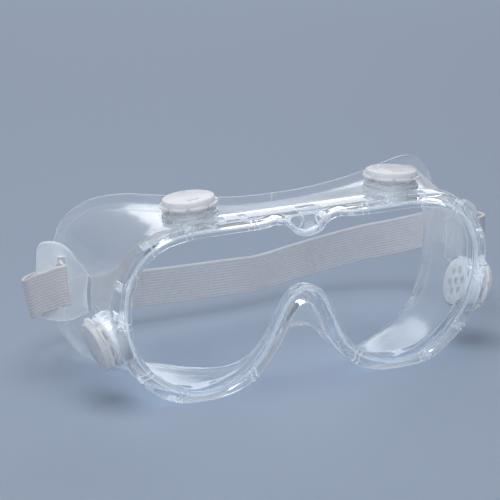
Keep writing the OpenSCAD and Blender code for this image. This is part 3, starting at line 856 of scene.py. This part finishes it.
def build_strap():
    """Ribbed webbing swept along the centre line, with UVs that run along it in millimetres."""
    line = open_curve(strap_path(), STRAP_STEP)
    across = RIBS * STEPS_PER_RIB
    v = np.linspace(0, 1, across + 1)
    rib = STRAP_T / 2 * (1 - RIB_DEPTH + RIB_DEPTH * np.abs(np.sin(math.pi * RIBS * v)) ** RIB_POWER)
    rib[0] = rib[-1] = STRAP_T * EDGE_SHARE
    d = np.gradient(line[:, :3], axis=0)[:, :2]
    d /= np.linalg.norm(d, axis=1)[:, None]
    run = np.r_[0, np.cumsum(np.linalg.norm(np.diff(line[:, :3], axis=0), axis=1))]
    verts, uvs = [], []
    for i, (x, y, z, lean) in enumerate(line):
        lean = math.radians(lean)
        side = np.array([-d[i, 1], d[i, 0], 0])
        up = np.array([math.copysign(math.cos(LUG_SWEEP), x) * math.sin(lean),
                       math.sin(LUG_SWEEP) * math.sin(lean), math.cos(lean)])
        for s in (1, -1):
            for j in (range(across + 1) if s == 1 else range(across, -1, -1)):
                verts.append(np.array([x, y, z]) + side * s * rib[j] + up * (v[j] - 0.5) * STRAP_W)
                uvs.append((run[i], v[j]))
    n, q = len(line), 2 * (across + 1)
    faces = [(k * q + j, k * q + (j + 1) % q, (k + 1) * q + (j + 1) % q, (k + 1) * q + j)
             for k in range(n - 1) for j in range(q)]
    faces += [tuple(range(q - 1, -1, -1)), tuple(range((n - 1) * q, n * q))]
    ob = mesh_object("headband_webbing", to_row(verts), faces, 75)
    layer = ob.data.uv_layers.new(name="UVMap")
    for loop in ob.data.loops:
        layer.data[loop.index].uv = uvs[loop.vertex_index]
    return ob


strap = build_strap()
dress(strap, WEB)
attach(strap, "headband")
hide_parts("strap")

for name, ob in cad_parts.items():
    for key, mat, slot in (("stitching", THREAD, "thread"), ("strap", WEB, "elastic_webbing"),
                           ("frame", SOFT, "soft_clear"), ("lens", HARD, "clear_lens"),
                           ("vent", MILKY, "vent_plastic")):
        if name.startswith(key):
            dress(ob, mat)

# ---------------------------------------------------------------- stage
FLOOR_SIZE, FLOOR_DROP = 30, 0.0002
bpy.ops.mesh.primitive_plane_add(size=FLOOR_SIZE, location=(0, 0, -FLOOR_DROP))
floor = bpy.context.object
floor.name = "floor"
floor.data.materials.append(FLOOR)


def area(name, location, target, size, power):
    """White rectangular light that faces the target."""
    light = bpy.data.lights.new(name, "AREA")
    light.shape, light.size, light.size_y = "RECTANGLE", size[0], size[1]
    light.energy = power
    ob = bpy.data.objects.new(name, light)
    bpy.context.scene.collection.objects.link(ob)
    ob.location = location
    ob.rotation_mode = "QUATERNION"
    ob.rotation_quaternion = (Vector(target) - Vector(location)).to_track_quat("-Z", "Y")


def sky(low, high, high_at, strength):
    """World light that goes from a low tone at the horizon to a high one overhead."""
    world = bpy.data.worlds.new("studio")
    bpy.context.scene.world = world
    world.use_nodes = True
    nt = world.node_tree
    background = nt.nodes["Background"]
    co = nt.nodes.new("ShaderNodeTexCoord")
    sep = nt.nodes.new("ShaderNodeSeparateXYZ")
    nt.links.new(co.outputs["Generated"], sep.inputs[0])
    nt.links.new(colour_ramp(nt, sep.outputs["Z"], low, high, 0.0, high_at), background.inputs["Color"])
    background.inputs["Strength"].default_value = strength


# name, place in metres, size in metres, power in watts
LIGHTS = [("key_top", (-0.15, -0.1, 0.9), (0.7, 0.5), 4.4),
          ("fill_left", (-0.9, -0.5, 0.45), (0.5, 0.6), 1.0),
          ("back_sheen", (0.5, 1.15, 0.52), (1.4, 0.5), 6.0),
          ("front_low", (-0.35, -1.1, 0.22), (0.9, 0.3), 1.6)]
LIGHT_TARGET = (0, 0, 0.04)
for name, place, size, power in LIGHTS:
    area(name, place, LIGHT_TARGET, size, power)
sky(low=(0.18, 0.22, 0.3), high=(0.85, 0.88, 0.92), high_at=0.9, strength=0.45)

# ---------------------------------------------------------------- camera
# angles, distance from the anchor in metres, and the aim's offsets as shares of the distance
AZIMUTH, ELEVATION, ROLL = (math.radians(a) for a in (-25.47, 24.06, 0.86))
DISTANCE, AIM_LEFT, AIM_UP = 1.0644, 0.02437, 0.04446
SENSOR_MM, LENS_MM = 36, 173.94
ANCHOR = Vector((0, 0, 12.6))   # design point that the view turns about


def place_camera():
    """Camera on the view direction, aimed beside the anchor and rolled a little."""
    flat = Vector((math.sin(AZIMUTH), -math.cos(AZIMUTH), 0))
    back = flat * math.cos(ELEVATION) + Vector((0, 0, math.sin(ELEVATION)))
    right = Vector((math.cos(AZIMUTH), math.sin(AZIMUTH), 0))
    look = (-back - right * AIM_LEFT + back.cross(right) * AIM_UP).normalized()
    level = look.cross(Vector((0, 0, 1))).normalized()
    cam_x = level * math.cos(ROLL) + level.cross(look) * math.sin(ROLL)
    cam = bpy.data.cameras.new("camera")
    cam.sensor_width, cam.lens = SENSOR_MM, LENS_MM
    cam.clip_start, cam.clip_end = 0.01, 20
    camera = bpy.data.objects.new("camera", cam)
    bpy.context.scene.collection.objects.link(camera)
    basis = Matrix((cam_x, (-look).cross(cam_x), -look)).transposed().to_4x4()
    basis.translation = (ANCHOR + SHIFT) * MM + back * DISTANCE
    camera.matrix_world = basis
    bpy.context.scene.camera = camera


place_camera()

scene = bpy.context.scene
scene.cycles.max_bounces = 24
scene.cycles.transmission_bounces = 20
scene.cycles.transparent_max_bounces = 24
scene.view_settings.view_transform = "Standard"
